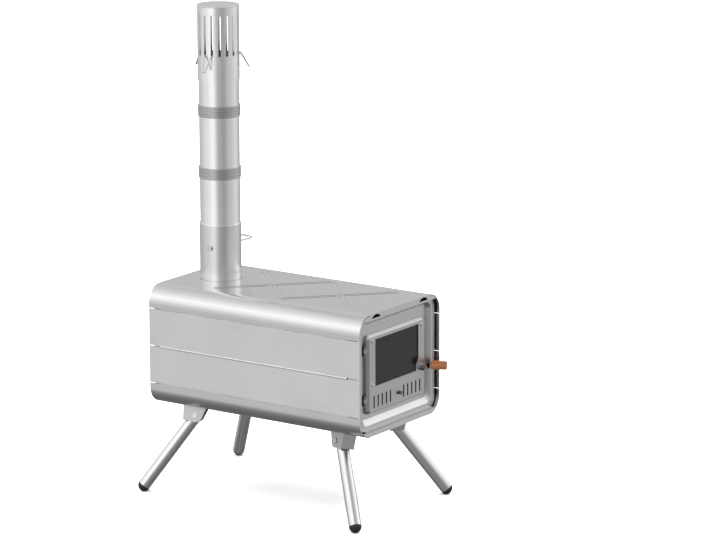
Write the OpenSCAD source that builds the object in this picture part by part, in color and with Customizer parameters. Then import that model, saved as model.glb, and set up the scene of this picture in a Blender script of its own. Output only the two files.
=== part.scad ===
// Folding tent wood stove, set up on its four legs, with its short flue in place.
// +Z is up, the door faces -Y, and the origin is on the ground under the middle of the overall length.

/* [Fire box] */
// Width over the side walls
body_w = 202; // [170:1:260]
// Length from front edge to rear edge
body_l = 364; // [320:1:460]
// Height of each pressed shell, from its flat to its hinge line
shell_h = 32.4; // [30:0.1:45]
// Height of each side panel between two hinge lines
panel_h = 54.8; // [50:0.1:60]
// Outside radius of the shell corners
corner_r = 26; // [18:1:28]
// Thickness of the body sheet
sheet_t = 1; // [0.8:0.1:1.2]
// Height of the bent lips across the shell ends
lip_h = 8; // [6:0.5:9]
// Width of the seam between a shell and its side panel
seam = 0.7; // [0.5:0.1:1]

/* [Side hinges] */
// Radius of the rolled knuckles
knuckle_r = 1.6; // [1.4:0.1:1.8]
// Radius of the hinge rods
rod_r = 0.8; // [0.6:0.1:0.9]
// Number of knuckles on each hinge line
knuckles = 9; // [5:2:13]
// Bare sheet left at each end of a hinge line
hinge_end = 20; // [18:1:30]

/* [End plates] */
// Depth of the plate border behind the shell edge
border_y = 6; // [4:0.5:7]
// Depth of the pressed field behind the border
recess_d = 6; // [4:0.5:7]
// Thickness of the end plates
plate_t = 1; // [0.8:0.1:1.2]
// Air gap between an end plate and the side panels
side_gap = 4; // [3.5:0.1:5]

/* [Door] */
// Distance from the edge of the pressed field to each side of the door
door_side = 15.5; // [13:0.5:22]
// Distance from the edge of the pressed field to the door's lower edge
door_foot = 16.1; // [15:0.1:18]
// Distance from the edge of the pressed field to the door's upper edge
door_head = 20.5; // [16:0.1:22]
// Depth of the door pan
door_d = 6.5; // [6:0.1:7]
// Thickness of the door sheet
door_t = 1.2; // [1:0.1:1.4]
// Width of the slanting rim round the door
door_bevel = 3.4; // [2:0.1:3.6]
// Distance from each side of the door to the window
window_side = 18; // [17:0.5:22]
// Height of the window's lower edge above the door's lower edge
window_rise = 39; // [38:0.5:40]
// Distance from the window's upper edge to the door's upper edge
window_head = 7.6; // [7.4:0.1:12]
// Thickness of the glass
glass_t = 2.4; // [2:0.1:2.5]
// Number of air slots on each side of the slider knob
air_slots = 5; // [3:1:5]
// Distance from each side of the door to the outermost air slot
air_side = 14.7; // [14:0.1:18]
// Width of an air slot
air_w = 3; // [2:0.1:3.5]
// Length of an air slot
air_h = 18; // [12:0.5:18.5]

/* [Latch] */
// Distance from the side of the door to the latch spindle
latch_side = 10; // [9.6:0.1:11]
// Height of the latch spindle above the door's lower edge
latch_rise = 42; // [38:0.5:43]
// Radius of the wooden grip
grip_r = 6.4; // [5.5:0.1:7]
// Length of the wooden grip
grip_l = 22; // [18:0.5:30]
// Angle of the grip out from the door's face
grip_turn = 66; // [55:1:80]

/* [Legs] */
// Outside radius of a leg tube
leg_r = 9; // [8:0.25:9.5]
// Length from pivot to the middle of the foot
leg_l = 127.6; // [120:0.2:128]
// Turn of the swing plane away from the long axis
leg_yaw = 24; // [20:0.5:25]
// Outward tilt of the swing plane
leg_tilt = 13; // [8:0.5:16]
// Swing of the leg away from its bracket's middle line
leg_swing = 35.2; // [30:0.2:38]
// Depth of the leg pivots below the fire box
pivot_drop = 16.4; // [15:0.1:20]
// Distance of the leg pivots from the side of the fire box
leg_side = 37; // [33:0.5:39]
// Distance of the leg pivots from the end of the fire box
leg_inset = 55.5; // [32:0.5:58]

/* [Flue] */
// Outside radius of the base pipe
pipe_r = 30; // [28:0.5:32]
// Wall of the flue tubes
pipe_t = 1; // [0.8:0.1:1]
// Distance of the flue axis from the rear edge of the fire box
flue_inset = 54; // [52:1:72]
// Height of the base pipe above the cooktop
base_rise = 81; // [75:1:110]
// Depth that the pipe goes into its collar
socket_d = 14; // [10:1:16]
// Length that one tube goes into the next
overlap = 20; // [15:1:30]
// Height of the upper tube between the base pipe and the spark arrestor
flue_rise = 207.5; // [180:0.5:400]
// Height of the spark arrestor
arrestor_h = 108; // [100:1:140]
// Number of slots round the spark arrestor
spark_slots = 17; // [10:1:18]
// Width of a spark slot
spark_w = 3.6; // [2.5:0.1:4]
// Distance from the foot of the spark arrestor to its slots
spark_foot = 36.5; // [34:0.5:45]
// Distance from the slots to the top of the spark arrestor
spark_head = 12.5; // [8:0.5:25]
// Height of a flue band
band_h = 16.5; // [12:0.5:20]
// Length of a guy loop
loop_l = 23.5; // [20:0.5:30]

/* [Hidden] */
$fn = 64;

// One overrun serves all cuts, one running clearance all round fits, one gap all loose seats
cut = 2;
run = 0.05;
loose = 0.3;
skin = 0.01;

// The grip reaches further than the rear feet, so the fire box stands a little behind the origin
frame_y = 5.7;

// Levels and half sizes of the fire box
half_w = body_w / 2;
half_l = body_l / 2;
pivot_z = leg_l * cos(leg_swing) * cos(leg_tilt) + leg_r;
z_low = pivot_z + pivot_drop;
z_hinge_low = z_low + shell_h;
z_hinge_mid = z_hinge_low + panel_h;
z_hinge_up = z_hinge_mid + panel_h;
z_top = z_hinge_up + shell_h;

// Hinge lines: the lower and upper rods lie inside the wall, the middle rod just outside it
knuckle_gap = 0.1;
inner_pivot_x = half_w - sheet_t - knuckle_gap - knuckle_r;
outer_lift = 0.3;
middle_pivot_x = half_w + outer_lift;
middle_gap = sqrt(pow(knuckle_r + knuckle_gap, 2) - pow(outer_lift, 2));
hinge_l = body_l - 2 * hinge_end;
knuckle_pitch = hinge_l / knuckles;
knuckle_space = 0.5;
leaf_h = 2.6;

// End slots in the lip of the top shell
lip_slot_side = 16;
lip_slot_x = half_w - corner_r - lip_slot_side;
lip_slot_w = 22;
lip_slot_h = 5;

// Crossed stiffening beads pressed into the cooktop
bead_w = 3;
bead_d = 0.5;
bead_step = 7;
bead_side = 39;
bead_reach_x = half_w - bead_side;
bead_reach_y = 58;
bead_y_shares = [-0.22, 0.1];

// Levels of the end plates, which fill the opening between the lips
plate_low = z_low + lip_h + loose;
plate_high = z_top - lip_h - loose;
plate_half_w = half_w - sheet_t - side_gap;
plate_corner_r = 12;
rim_half = plate_half_w - plate_corner_r;
rim_inset = 0.5;
recess_side = 8.5;
recess_foot = 5;
recess_head = 2.6;
recess_half_w = plate_half_w - recess_side;
recess_low = plate_low + recess_foot;
recess_high = plate_high - recess_head;
slope_low = 9;
slope_high = 4.6;
slope_side = 4.5;
recess_r = 12;
tray_inset = 0.45;
border_face = half_l - border_y;
field_face = border_face - recess_d;
field_back = field_face - plate_t;

// Door levels; its front face stands a little proud of the border
door_low = recess_low + door_foot;
door_high = recess_high - door_head;
door_half = recess_half_w - door_side;
door_back = field_face + loose;
door_front = door_back + door_d;
door_r = 7;
door_lap = 5;
opening_half = door_half - door_lap;
opening_low = door_low + door_lap;
opening_high = door_high - door_lap;
opening_r = 3;
window_low = door_low + window_rise;
window_high = door_high - window_head;
window_half = door_half - window_side;
window_r = 2;
notch_w = 6;
notch_rise = 8;
notch_h = 16;
glass_lap = 2.8;
glass_gap = 0.1;
glass_front = door_front - door_t - glass_gap;
glass_back = glass_front - glass_t;
retainer_t = 0.9;
retainer_back = glass_back - glass_gap - retainer_t;
screw_r = 1.5;
screw_head_r = 2.6;
screw_head_h = 1.1;
screw_edge = 7;
screw_low = 3;
screw_high = 1.5;
screw_nut_h = 1.2;
retainer_lap = 11;
retainer_drop = 5;
retainer_r = 4;
retainer_clear = 1.5;
stop_side = 45;
stop_x = half_w - corner_r - stop_side;
stop_w = 14;
stop_t = 1;
stop_lap = 3;

// Door hinges: the axis lies beside the door's left edge
door_pivot_side = 4.5;
door_pivot_lift = 3.7;
door_pivot_x = -door_half - door_pivot_side;
door_pivot_y = -(door_back + door_pivot_lift);
door_knuckle_r = 2.4;
door_pin_r = 1.2;
door_pin_head_r = 1.9;
door_pin_head_h = 0.8;
door_hinge_l = 15;
door_knuckle_l = 5.4;
door_knuckle_space = 0.3;
hinge_foot_out = 4.5;
hinge_foot_in = 2.4;
door_hinge_foot = 22;
door_hinge_head = 20.6;
hinge_leaf_t = 1;

// Latch levels
latch_x = door_half - latch_side;
latch_z = door_low + latch_rise;
spindle_r = 2.5;
spindle_boss_r = 5;
tongue_w = 8;
tongue_l = 18;
tongue_t = 1.8;
tongue_gap = 0.4;
tongue_front = field_back - tongue_gap;
boss_h = 1.6;
lever_gap = 0.1;
lever_t = 1.8;
lever_w = 9;
lever_l = 16.3;
lever_face = door_front + boss_h + lever_gap + lever_t;
nut_r = 4.6;
nut_h = 3;
spindle_end = 0.8;
grip_start = 3;
grip_bevel = 0.8;
tang_l = 11;
tang_w = 6;
grip_pin_r = 1.2;
grip_pin_at = 7;
mitre = 0.5;

// Air slider: a slotted strip behind the door's lower face
slider_t = 0.8;
slider_front = door_front - door_t - glass_gap;
slider_margin = 2;
slider_end = 2;
rail_foot = 4.8;
air_first = 16.7;
air_pitch = (door_half - air_side - air_first) / max(air_slots - 1, 1);
slider_travel = air_pitch / 2;
knob_r = 2.6;
knob_neck_r = 1.3;
knob_x = 6;
knob_l = 4;
knob_slot_gap = 0.3;
rail_t = 0.8;
rail_edge = 1;
rail_lap = 1.2;
rail_gap = 0.2;
slider_z = door_low + rail_foot + rail_edge + rail_gap + slider_margin + air_h / 2;

// Fire grate
grate_side = 35;
grate_end = 37;
grate_w = body_w - 2 * grate_side;
grate_l = body_l - 2 * grate_end;
grate_h = 17;
grate_t = 1.5;
grate_slot_w = 5;
grate_rows = 5;
grate_cols = 9;
grate_bridge = 10;
grate_rim = 6;

// Flue radii and levels
flue_y = half_l - flue_inset;
hole_gap = 0.6;
hole_r = pipe_r + hole_gap;
base_in = pipe_r - pipe_t;
flue_r = base_in - run;
flue_in = flue_r - pipe_t;
collar_t = 1.5;
collar_r = pipe_r + run + collar_t;
collar_flange_w = 11;
collar_flange_r = pipe_r + collar_flange_w;
ledge_w = 2.4;
base_low = z_top - socket_d;
base_high = z_top + base_rise;
flue_low = base_high - overlap;
arrestor_low = base_high + flue_rise;
flue_high = arrestor_low + overlap;
arrestor_in = flue_r + run;
arrestor_r = arrestor_in + pipe_t;
arrestor_high = arrestor_low + arrestor_h;
cap_t = 1.2;
cap_lip = 0.7;
spark_low = arrestor_low + spark_foot;
spark_h = arrestor_h - spark_foot - spark_head;
spark_first = 219.4;
stop_ring_w = 1.4;
stop_ring_h = 1;
rim_r = 0.5;
rim_h = 1.5;
band_foot = 66.5;
band_head = 51.5;
band_t = 1.9;
band_ribs = 4;
band_rib_r = 0.7;
damper_under = 13;
damper_z = flue_low - damper_under;
damper_turn = 7;
damper_gap = 0.8;
damper_r = flue_in - damper_gap;
damper_t = 1;
damper_hole_r = 6;
damper_spindle_r = 2;
damper_nut_r = 4.2;
damper_nut_h = 3;
damper_nut_gap = 0.3;
damper_hole_at_share = 0.5;
handle_stem = 6;
handle_l = 46;
handle_w = 18;
handle_wire_r = 1.4;
handle_droop = 4;
handle_roll = 8;
loop_wire_r = 1.1;
loop_half = (arrestor_in + arrestor_r) / 2 * sin(180 / spark_slots);
loop_seat = 0.2;
loop_stub = 2;
loop_inner = 3.2;
loop_foot = 3;
loop_tip_w = 3.4;
loop_drop = 60;
loop_slots = [-2, 4, 10];

// Leg brackets
bracket_t = 1.5;
leg_t = 1;
bracket_in = leg_r + loose;
bracket_out = bracket_in + bracket_t;
bracket_reach = 18;
leg_x = half_w - leg_side;
leg_y = half_l - leg_inset;
web_gap = 0.3;
leg_end = 7;
pivot_r = 2.5;
pivot_head_r = 4;
pivot_head_h = 1.4;
rivet_r = 2;
rivet_head_r = 3.6;
rivet_head_h = 1.2;
rivet_y = 13;
rivet_edge = 4.5;
lean = pivot_drop * tan(leg_tilt);
rivet_x = bracket_out + lean + rivet_edge;
bracket_eye_r = leg_r + 1;
bracket_shoulder = pivot_drop - bracket_t;
eye_share = 0.97;
base_inset = 0.4;
web_low = web_gap - (bracket_reach - bracket_t - leg_r / cos(leg_swing)) / tan(leg_swing);
foot_plug_l = 9;

steel = "silver";
dull_steel = "darkgray";

// A rounded rectangle from low and high corners, in the plane of its own axes
module round_rect(left, right, low, high, r) {
    translate([left + r, low])
        square([right - left - 2 * r, high - low]);
    translate([left, low + r])
        square([right - left, high - low - 2 * r]);
    for (x = [left + r, right - r])
        for (y = [low + r, high - r])
            translate([x, y])
                circle(r);
}

// Stands a flat outline drawn in X and Z up at the given Y, as deep as asked towards the inside
module upright(front, depth) {
    translate([0, depth - front, 0])
        rotate([90, 0, 0])
            linear_extrude(height = depth)
                children();
}

// A rod along X, Y or Z
module rod_x(r, l) {
    rotate([0, 90, 0])
        cylinder(r = r, h = l, center = true);
}

module rod_y(r, l) {
    rotate([90, 0, 0])
        cylinder(r = r, h = l, center = true);
}

// The bent section of a shell: flat below, rounded corners, open at the top
module shell_section(inset) {
    r = corner_r - inset;
    w = half_w - inset;
    top = inset > 0 ? shell_h + cut : shell_h - seam / 2;
    translate([-w, corner_r])
        square([2 * w, top - corner_r]);
    translate([-(half_w - corner_r), inset])
        square([2 * (half_w - corner_r), corner_r]);
    for (s = [0, 1])
        mirror([s, 0])
            translate([half_w - corner_r, corner_r])
                intersection() {
                    circle(r);
                    translate([0, -r])
                        square(r);
                }
}

// The pressed shell in its upright place, its flat on the plane Z = 0
module shell_blank() {
    rotate([90, 0, 0])
        linear_extrude(height = body_l, center = true)
            difference() {
                shell_section(0);
                shell_section(sheet_t);
            }
    for (s = [-1, 1])
        translate([corner_r - half_w, s > 0 ? half_l - sheet_t : -half_l, 0])
            cube([body_w - 2 * corner_r, sheet_t, lip_h]);
}

// Knuckles of one leaf: every second place along the hinge line, with the leaf's root on one side
module knuckle_row(odd, up, root_x, root_w) {
    for (i = [odd : 2 : knuckles - 1])
        translate([0, -hinge_l / 2 + (i + 0.5) * knuckle_pitch, 0])
            difference() {
                union() {
                    rod_y(knuckle_r, knuckle_pitch - knuckle_space);
                    translate([root_x, -(knuckle_pitch - knuckle_space) / 2, up > 0 ? 0 : -leaf_h])
                        cube([root_w, knuckle_pitch - knuckle_space, leaf_h]);
                }
                rod_y(rod_r + run, knuckle_pitch + cut);
            }
}

// Knuckles on the inside of a right-hand wall
module inner_knuckles(odd, up) {
    knuckle_row(odd, up, 0, knuckle_gap + knuckle_r + sheet_t / 2);
}

// Knuckles of the middle hinge of a right-hand wall
module middle_knuckles(odd, up) {
    knuckle_row(odd, up, -outer_lift - sheet_t, sheet_t);
}

module shell_with_knuckles(odd) {
    shell_blank();
    for (s = [0, 1])
        mirror([s, 0, 0])
            translate([inner_pivot_x, 0, shell_h])
                inner_knuckles(odd, -1);
}

// Places of the bracket rivets on the underside
module at_rivets() {
    for (sx = [0, 1])
        for (sy = [0, 1])
            mirror([sx, 0, 0])
                mirror([0, sy, 0])
                    translate([leg_x, leg_y, 0])
                        rotate([0, 0, -leg_yaw])
                            for (s = [-1, 1])
                                translate([-rivet_x, s * rivet_y, 0])
                                    children();
}

module bottom_shell() {
    color(steel)
        difference() {
            translate([0, 0, z_low])
                shell_with_knuckles(0);
            at_rivets()
                translate([0, 0, z_low - cut])
                    cylinder(r = rivet_r, h = sheet_t + 2 * cut);
        }
}

// One bead line, from corner to corner of its cross
module bead(y, side, shift, w, low, high) {
    turn = atan2(bead_reach_y, bead_reach_x);
    length = 2 * sqrt(pow(bead_reach_x, 2) + pow(bead_reach_y, 2));
    translate([0, y, 0])
        rotate([0, 0, side * turn])
            translate([-length / 2, shift - w / 2, low])
                cube([length, w, high - low]);
}

module beads(w, low, high) {
    for (share = bead_y_shares)
        for (side = [-1, 1])
            for (shift = [-bead_step / 2, bead_step / 2])
                bead(share * body_l, side, shift, w, low, high);
}

// A slot with a flat lower edge and an arched upper edge
module lip_slot() {
    r = (pow(lip_slot_w / 2, 2) + pow(lip_slot_h, 2)) / (2 * lip_slot_h);
    intersection() {
        translate([0, 0, -r])
            rod_y(r, 2 * (sheet_t + cut));
        translate([-lip_slot_w / 2, -sheet_t - cut, -lip_slot_h])
            cube([lip_slot_w, 2 * (sheet_t + cut), lip_slot_h]);
    }
}

module top_shell() {
    color(steel)
        difference() {
            union() {
                translate([0, 0, z_top])
                    mirror([0, 0, 1])
                        shell_with_knuckles(0);
                beads(bead_w + sheet_t, z_top - sheet_t - bead_d, z_top - sheet_t / 2);
            }
            beads(bead_w, z_top - bead_d, z_top + cut);
            translate([0, flue_y, z_top - 2 * cut])
                cylinder(r = hole_r, h = 3 * cut);
            for (s = [-1, 1])
                for (e = [-1, 1])
                    translate([s * lip_slot_x, e * half_l, z_top - sheet_t])
                        lip_slot();
        }
}

// A right-hand side panel with its inner hinge line at Z = 0 and its middle hinge line on top
module panel(odd) {
    translate([half_w - sheet_t, -half_l, seam / 2])
        cube([sheet_t, body_l, panel_h - seam / 2 - middle_gap]);
    for (s = [0, 1])
        mirror([0, s, 0])
            translate([half_w - sheet_t, hinge_l / 2 + loose, seam / 2])
                cube([sheet_t, hinge_end - loose, panel_h - seam]);
    translate([inner_pivot_x, 0, 0])
        inner_knuckles(1, 1);
    translate([middle_pivot_x, 0, panel_h])
        middle_knuckles(odd, -1);
}

module lower_panel() {
    color(steel)
        translate([0, 0, z_hinge_low])
            panel(0);
}

// The upper panel is the lower one turned over, with the other knuckles on the middle line
module upper_panel() {
    color(steel)
        translate([0, 0, z_hinge_up])
            mirror([0, 0, 1])
                panel(1);
}

module hinge_rod(x, z) {
    color(dull_steel)
        translate([x, 0, z])
            rod_y(rod_r, hinge_l);
}

// Angle pieces that stand on the shell behind the border of an end plate and carry its edge
module plate_stop() {
    back = border_face - plate_t - loose;
    translate([-stop_w / 2, -back, z_low + sheet_t])
        cube([stop_w, stop_t, plate_low + stop_lap - z_low - sheet_t]);
    translate([-stop_w / 2, -back - plate_t - loose, plate_low - loose - stop_t])
        cube([stop_w, plate_t + loose + stop_t, stop_t]);
}

module lower_plate_stops() {
    color(dull_steel)
        for (e = [0, 1])
            for (s = [-1, 1])
                mirror([0, e, 0])
                    translate([s * stop_x, 0, 0])
                        plate_stop();
}

module upper_plate_stops() {
    translate([0, 0, z_low + z_top])
        mirror([0, 0, 1])
            lower_plate_stops();
}

// The pressed tray of an end plate, from its mouth in the border to its flat field
module tray(inset) {
    half = recess_half_w - inset;
    low = recess_low + inset;
    high = recess_high - inset;
    hull() {
        upright(border_face, skin)
            round_rect(-half, half, low, high, recess_r - inset);
        upright(field_back + skin, skin)
            round_rect(slope_side - half, half - slope_side, low + slope_low, high - slope_high,
                recess_r - slope_side - inset);
    }
}

// The plate's lower and upper edges are bent forward and fill the opening between the lips
module end_plate() {
    difference() {
        union() {
            upright(border_face, plate_t)
                round_rect(-plate_half_w, plate_half_w, plate_low, plate_high, plate_corner_r);
            tray(0);
            for (z = [plate_low, plate_high - plate_t])
                translate([-rim_half, rim_inset - half_l, z])
                    cube([2 * rim_half, border_y - rim_inset + plate_t, plate_t]);
        }
        translate([0, -plate_t, 0])
            tray(tray_inset);
    }
}

module front_plate() {
    color(steel)
        difference() {
            end_plate();
            upright(field_face + cut, plate_t + 2 * cut)
                round_rect(-opening_half, opening_half, opening_low, opening_high, opening_r);
        }
}

module rear_plate() {
    color(steel)
        mirror([0, 1, 0])
            end_plate();
}

// Puts a piece at each door hinge, on its axis
module at_door_hinges() {
    for (z = [door_low + door_hinge_foot, door_high - door_hinge_head])
        translate([door_pivot_x, door_pivot_y, z])
            children();
}

module door_hinge_brackets() {
    reach = -door_pivot_y - field_face;
    color(dull_steel)
        at_door_hinges()
            difference() {
                union() {
                    for (s = [-1, 1])
                        translate([0, 0, s * (door_hinge_l + door_knuckle_l) / 4])
                            hinge_ear((door_hinge_l - door_knuckle_l) / 2 - door_knuckle_space, reach);
                    translate([-hinge_foot_out, reach - hinge_leaf_t, -door_hinge_l / 2])
                        cube([hinge_foot_out + hinge_foot_in, hinge_leaf_t, door_hinge_l]);
                }
                cylinder(r = door_pin_r, h = door_hinge_l + cut, center = true);
            }
}

module hinge_ear(l, reach) {
    cylinder(r = door_knuckle_r, h = l, center = true);
    translate([-hinge_leaf_t / 2, 0, -l / 2])
        cube([hinge_leaf_t, reach, l]);
}

module door_hinge_pins() {
    color("gainsboro")
        at_door_hinges() {
            cylinder(r = door_pin_r, h = door_hinge_l, center = true);
            for (s = [0, 1])
                mirror([0, 0, s])
                    translate([0, 0, door_hinge_l / 2])
                        cylinder(r = door_pin_head_r, h = door_pin_head_h);
        }
}

// Door outline drawn in from its edge, as a loft from the back rim to the bevelled face
module pan_block(inset, front) {
    hull() {
        upright(front, skin)
            door_outline(inset + door_bevel);
        upright(front - door_bevel, door_d - door_bevel)
            door_outline(inset);
    }
}

module door_outline(inset) {
    round_rect(-door_half + inset, door_half - inset, door_low + inset, door_high - inset, door_r - inset);
}

// Window outline with the stepped corner that leaves room for the latch
module window_outline() {
    polygon([[-window_half, window_low],
        [window_half - notch_w, window_low],
        [window_half - notch_w, window_low + notch_rise],
        [window_half, window_low + notch_h],
        [window_half, window_high],
        [-window_half, window_high]]);
}

// Places of the air slots in the door and in the slider
module air_slot_row() {
    for (s = [-1, 1])
        for (i = [0 : air_slots - 1])
            translate([s * (air_first + i * air_pitch), slider_z])
                slot(air_w, air_h);
}

module slot(w, h) {
    square([w, h - w], center = true);
    for (s = [-1, 1])
        translate([0, s * (h - w) / 2])
            circle(w / 2);
}

module knob_slot() {
    w = 2 * (knob_neck_r + knob_slot_gap);
    translate([knob_x - slider_travel / 2, slider_z])
        rotate(90)
            slot(w, slider_travel + w);
}

// Puts a piece at each window screw, looking at the door
module at_window_screws() {
    x = window_half + screw_edge;
    high = window_high - screw_high;
    for (place = [[-x, window_low + screw_low], [-x, high], [x, high]])
        translate([place[0], 0, place[1]])
            children();
}

module door_pan() {
    color(steel)
        difference() {
            union() {
                difference() {
                    pan_block(0, door_front);
                    pan_block(door_t, door_front - door_t);
                }
                translate([latch_x, 0, latch_z])
                    along_y(door_front + boss_h, boss_h + door_t)
                        cylinder(r = spindle_boss_r, h = boss_h + door_t);
                at_door_hinges()
                    door_knuckle();
            }
            upright(door_front + cut, 2 * cut)
                window_outline();
            upright(door_front + cut, 2 * cut)
                air_slot_row();
            upright(door_front + cut, 2 * cut)
                knob_slot();
            translate([latch_x, 0, latch_z])
                along_y(door_front + boss_h + cut, 3 * cut)
                    cylinder(r = spindle_r + run, h = door_d + boss_h);
            at_window_screws()
                along_y(door_front + cut, 2 * cut)
                    cylinder(r = screw_r, h = 2 * cut);
        }
}

// A round piece with its outer end at the given Y and its length towards the inside
module along_y(front, depth) {
    translate([0, -front, 0])
        rotate([-90, 0, 0])
            children();
}

module door_knuckle() {
    difference() {
        union() {
            cylinder(r = door_knuckle_r, h = door_knuckle_l, center = true);
            translate([0, -hinge_leaf_t / 2, -door_knuckle_l / 2])
                cube([door_pivot_side + door_t + hinge_leaf_t / 2, hinge_leaf_t, door_knuckle_l]);
        }
        cylinder(r = door_pin_r + run, h = door_knuckle_l + cut, center = true);
    }
}

module door_glass() {
    color([0.1, 0.1, 0.11, 0.8])
        upright(glass_front, glass_t)
            round_rect(-window_half - glass_lap, window_half + glass_lap,
                window_low - glass_lap, window_high + glass_lap, window_r);
}

module glass_retainer() {
    half = window_half + retainer_lap;
    color(dull_steel)
        difference() {
            upright(retainer_back + retainer_t, retainer_t)
                round_rect(-half, half, window_low - retainer_drop, window_high + retainer_drop, retainer_r);
            upright(retainer_back + retainer_t + cut, retainer_t + 2 * cut)
                window_outline();
            translate([latch_x, 0, latch_z])
                along_y(retainer_back + retainer_t + cut, cut)
                    cylinder(r = spindle_r + retainer_clear, h = retainer_t + 2 * cut);
            at_window_screws()
                along_y(retainer_back + retainer_t + cut, cut)
                    cylinder(r = screw_r, h = retainer_t + 2 * cut);
        }
}

module glass_screws() {
    color("gainsboro")
        at_window_screws() {
            along_y(door_front + screw_head_h, cut)
                cylinder(r1 = screw_r, r2 = screw_head_r, h = screw_head_h);
            along_y(door_front, cut)
                cylinder(r = screw_r, h = door_front - retainer_back + screw_nut_h);
            along_y(retainer_back, cut)
                cylinder(r = screw_head_r, h = screw_nut_h, $fn = 6);
        }
}

// Latch: at rest the lever lies across and its tongue stands clear inside the opening
module latch_tongue() {
    front = lever_face + nut_h + spindle_end;
    color(dull_steel)
        translate([latch_x, 0, latch_z]) {
            along_y(front, cut)
                cylinder(r = spindle_r, h = front - tongue_front + tongue_t);
            upright(tongue_front, tongue_t)
                translate([0, (tongue_l - tongue_w / 2) / 2])
                    slot(tongue_w, tongue_l + tongue_w / 2);
        }
}

module latch_lever() {
    color(dull_steel)
        difference() {
            intersection() {
                translate([0, 0, latch_z])
                    linear_extrude(height = lever_w + cut, center = true)
                        lever_plan();
                upright(2 * lever_face, 2 * lever_face)
                    translate([latch_x, latch_z]) {
                        circle(lever_w / 2);
                        translate([0, -lever_w / 2])
                            square([lever_face, lever_w]);
                    }
            }
            translate([latch_x, 0, latch_z])
                along_y(lever_face + cut, cut)
                    cylinder(r = spindle_r, h = lever_t + 2 * cut);
            for (s = [0, 1])
                at_lever_bend()
                    mirror([0, 0, s])
                        translate([grip_start, -cut, tang_w / 2])
                            cube([grip_l, lever_t + 2 * cut, lever_w]);
            at_lever_bend()
                translate([grip_start + grip_pin_at, lever_t / 2, 0])
                    rod_y(grip_pin_r, 2 * grip_r);
        }
}

// The lever from above: a strip with one sharp bend
module lever_plan() {
    translate([latch_x - lever_w / 2, -lever_face])
        square([lever_l + lever_w / 2, lever_t]);
    translate([latch_x + lever_l, lever_t / 2 - lever_face])
        rotate(-grip_turn)
            translate([-mitre, -lever_t / 2])
                square([mitre + grip_start + tang_l, lever_t]);
}

// The frame of the grip: it starts at the lever's bend and runs outwards
module at_lever_bend() {
    translate([latch_x + lever_l, -lever_face + lever_t / 2, latch_z])
        rotate([0, 0, -grip_turn])
            translate([0, -lever_t / 2, 0])
                children();
}

module latch_nut() {
    color("gainsboro")
        translate([latch_x, 0, latch_z])
            difference() {
                along_y(lever_face + nut_h, nut_h)
                    cylinder(r = nut_r, h = nut_h, $fn = 6);
                along_y(lever_face + nut_h + cut, cut)
                    cylinder(r = spindle_r, h = nut_h + 2 * cut);
            }
}

module latch_grip() {
    color("peru")
        at_lever_bend()
            difference() {
                translate([grip_start, lever_t / 2, 0])
                    rotate([0, 90, 0])
                        rotate_extrude()
                            polygon([[0, 0], [grip_r - grip_bevel, 0], [grip_r, grip_bevel],
                                [grip_r, grip_l - grip_bevel], [grip_r - grip_bevel, grip_l], [0, grip_l]]);
                translate([-cut, 0, -tang_w / 2])
                    cube([cut + grip_start + tang_l, lever_t, tang_w]);
                translate([grip_start + grip_pin_at, lever_t / 2, 0])
                    rod_y(grip_pin_r, 2 * grip_r + cut);
            }
}

module grip_pin() {
    color("gainsboro")
        at_lever_bend()
            translate([grip_start + grip_pin_at, lever_t / 2, 0])
                rod_y(grip_pin_r, 2 * grip_r - grip_bevel);
}

module air_slider() {
    half = air_first + (air_slots - 1) * air_pitch + air_w / 2 + slider_end;
    color(dull_steel)
        difference() {
            upright(slider_front, slider_t)
                translate([-half, slider_z - air_h / 2 - slider_margin])
                    square([2 * half, air_h + 2 * slider_margin]);
            upright(slider_front + cut, slider_t + 2 * cut)
                air_slot_row();
            translate([knob_x, 0, slider_z])
                along_y(slider_front + cut, cut)
                    cylinder(r = knob_neck_r, h = slider_t + 2 * cut);
        }
}

module slider_knob() {
    color(dull_steel)
        translate([knob_x, 0, slider_z]) {
            along_y(door_front + loose + knob_l, knob_l)
                cylinder(r = knob_r, h = knob_l);
            along_y(door_front + loose, cut)
                cylinder(r = knob_neck_r, h = door_front + loose - slider_front + slider_t);
        }
}

// Two rails that hold the slider against the back of the door's face
module slider_rails() {
    half = opening_half - door_bevel;
    face = door_front - door_t;
    step = glass_gap + slider_t + glass_gap;
    color(dull_steel)
        for (s = [-1, 1]) {
            edge = s * (air_h / 2 + slider_margin + rail_gap);
            low = s > 0 ? edge : edge - rail_edge;
            lap_low = s > 0 ? edge - rail_lap : edge - rail_edge;
            translate([-half, -face, slider_z + low])
                cube([2 * half, step + rail_t, rail_edge]);
            translate([-half, -face + step, slider_z + lap_low])
                cube([2 * half, rail_t, rail_edge + rail_lap]);
        }
}

// A bent sheet with rows of slots, standing on the floor of the box on its two long flanges
module fire_grate() {
    slot_l = (grate_l - 2 * grate_rim) / grate_rows - grate_bridge;
    pitch_y = (grate_l - 2 * grate_rim) / grate_rows;
    pitch_x = (grate_w - 2 * grate_rim) / grate_cols;
    color("dimgray")
        difference() {
            translate([-grate_w / 2, -grate_l / 2, z_low + sheet_t])
                cube([grate_w, grate_l, grate_h]);
            translate([-grate_w / 2 + grate_t, -grate_l / 2 - cut, z_low + sheet_t - cut])
                cube([grate_w - 2 * grate_t, grate_l + 2 * cut, grate_h - grate_t + cut]);
            for (i = [0 : grate_cols - 1])
                for (j = [0 : grate_rows - 1])
                    translate([(i + 0.5) * pitch_x - grate_w / 2 + grate_rim - grate_slot_w / 2,
                        (j + 0.5) * pitch_y - grate_l / 2 + grate_rim - slot_l / 2, z_low + sheet_t])
                        cube([grate_slot_w, slot_l, grate_h + cut]);
        }
}

// Puts a piece on the flue axis at the given height
module on_flue(z) {
    translate([0, flue_y, z])
        children();
}

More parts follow.
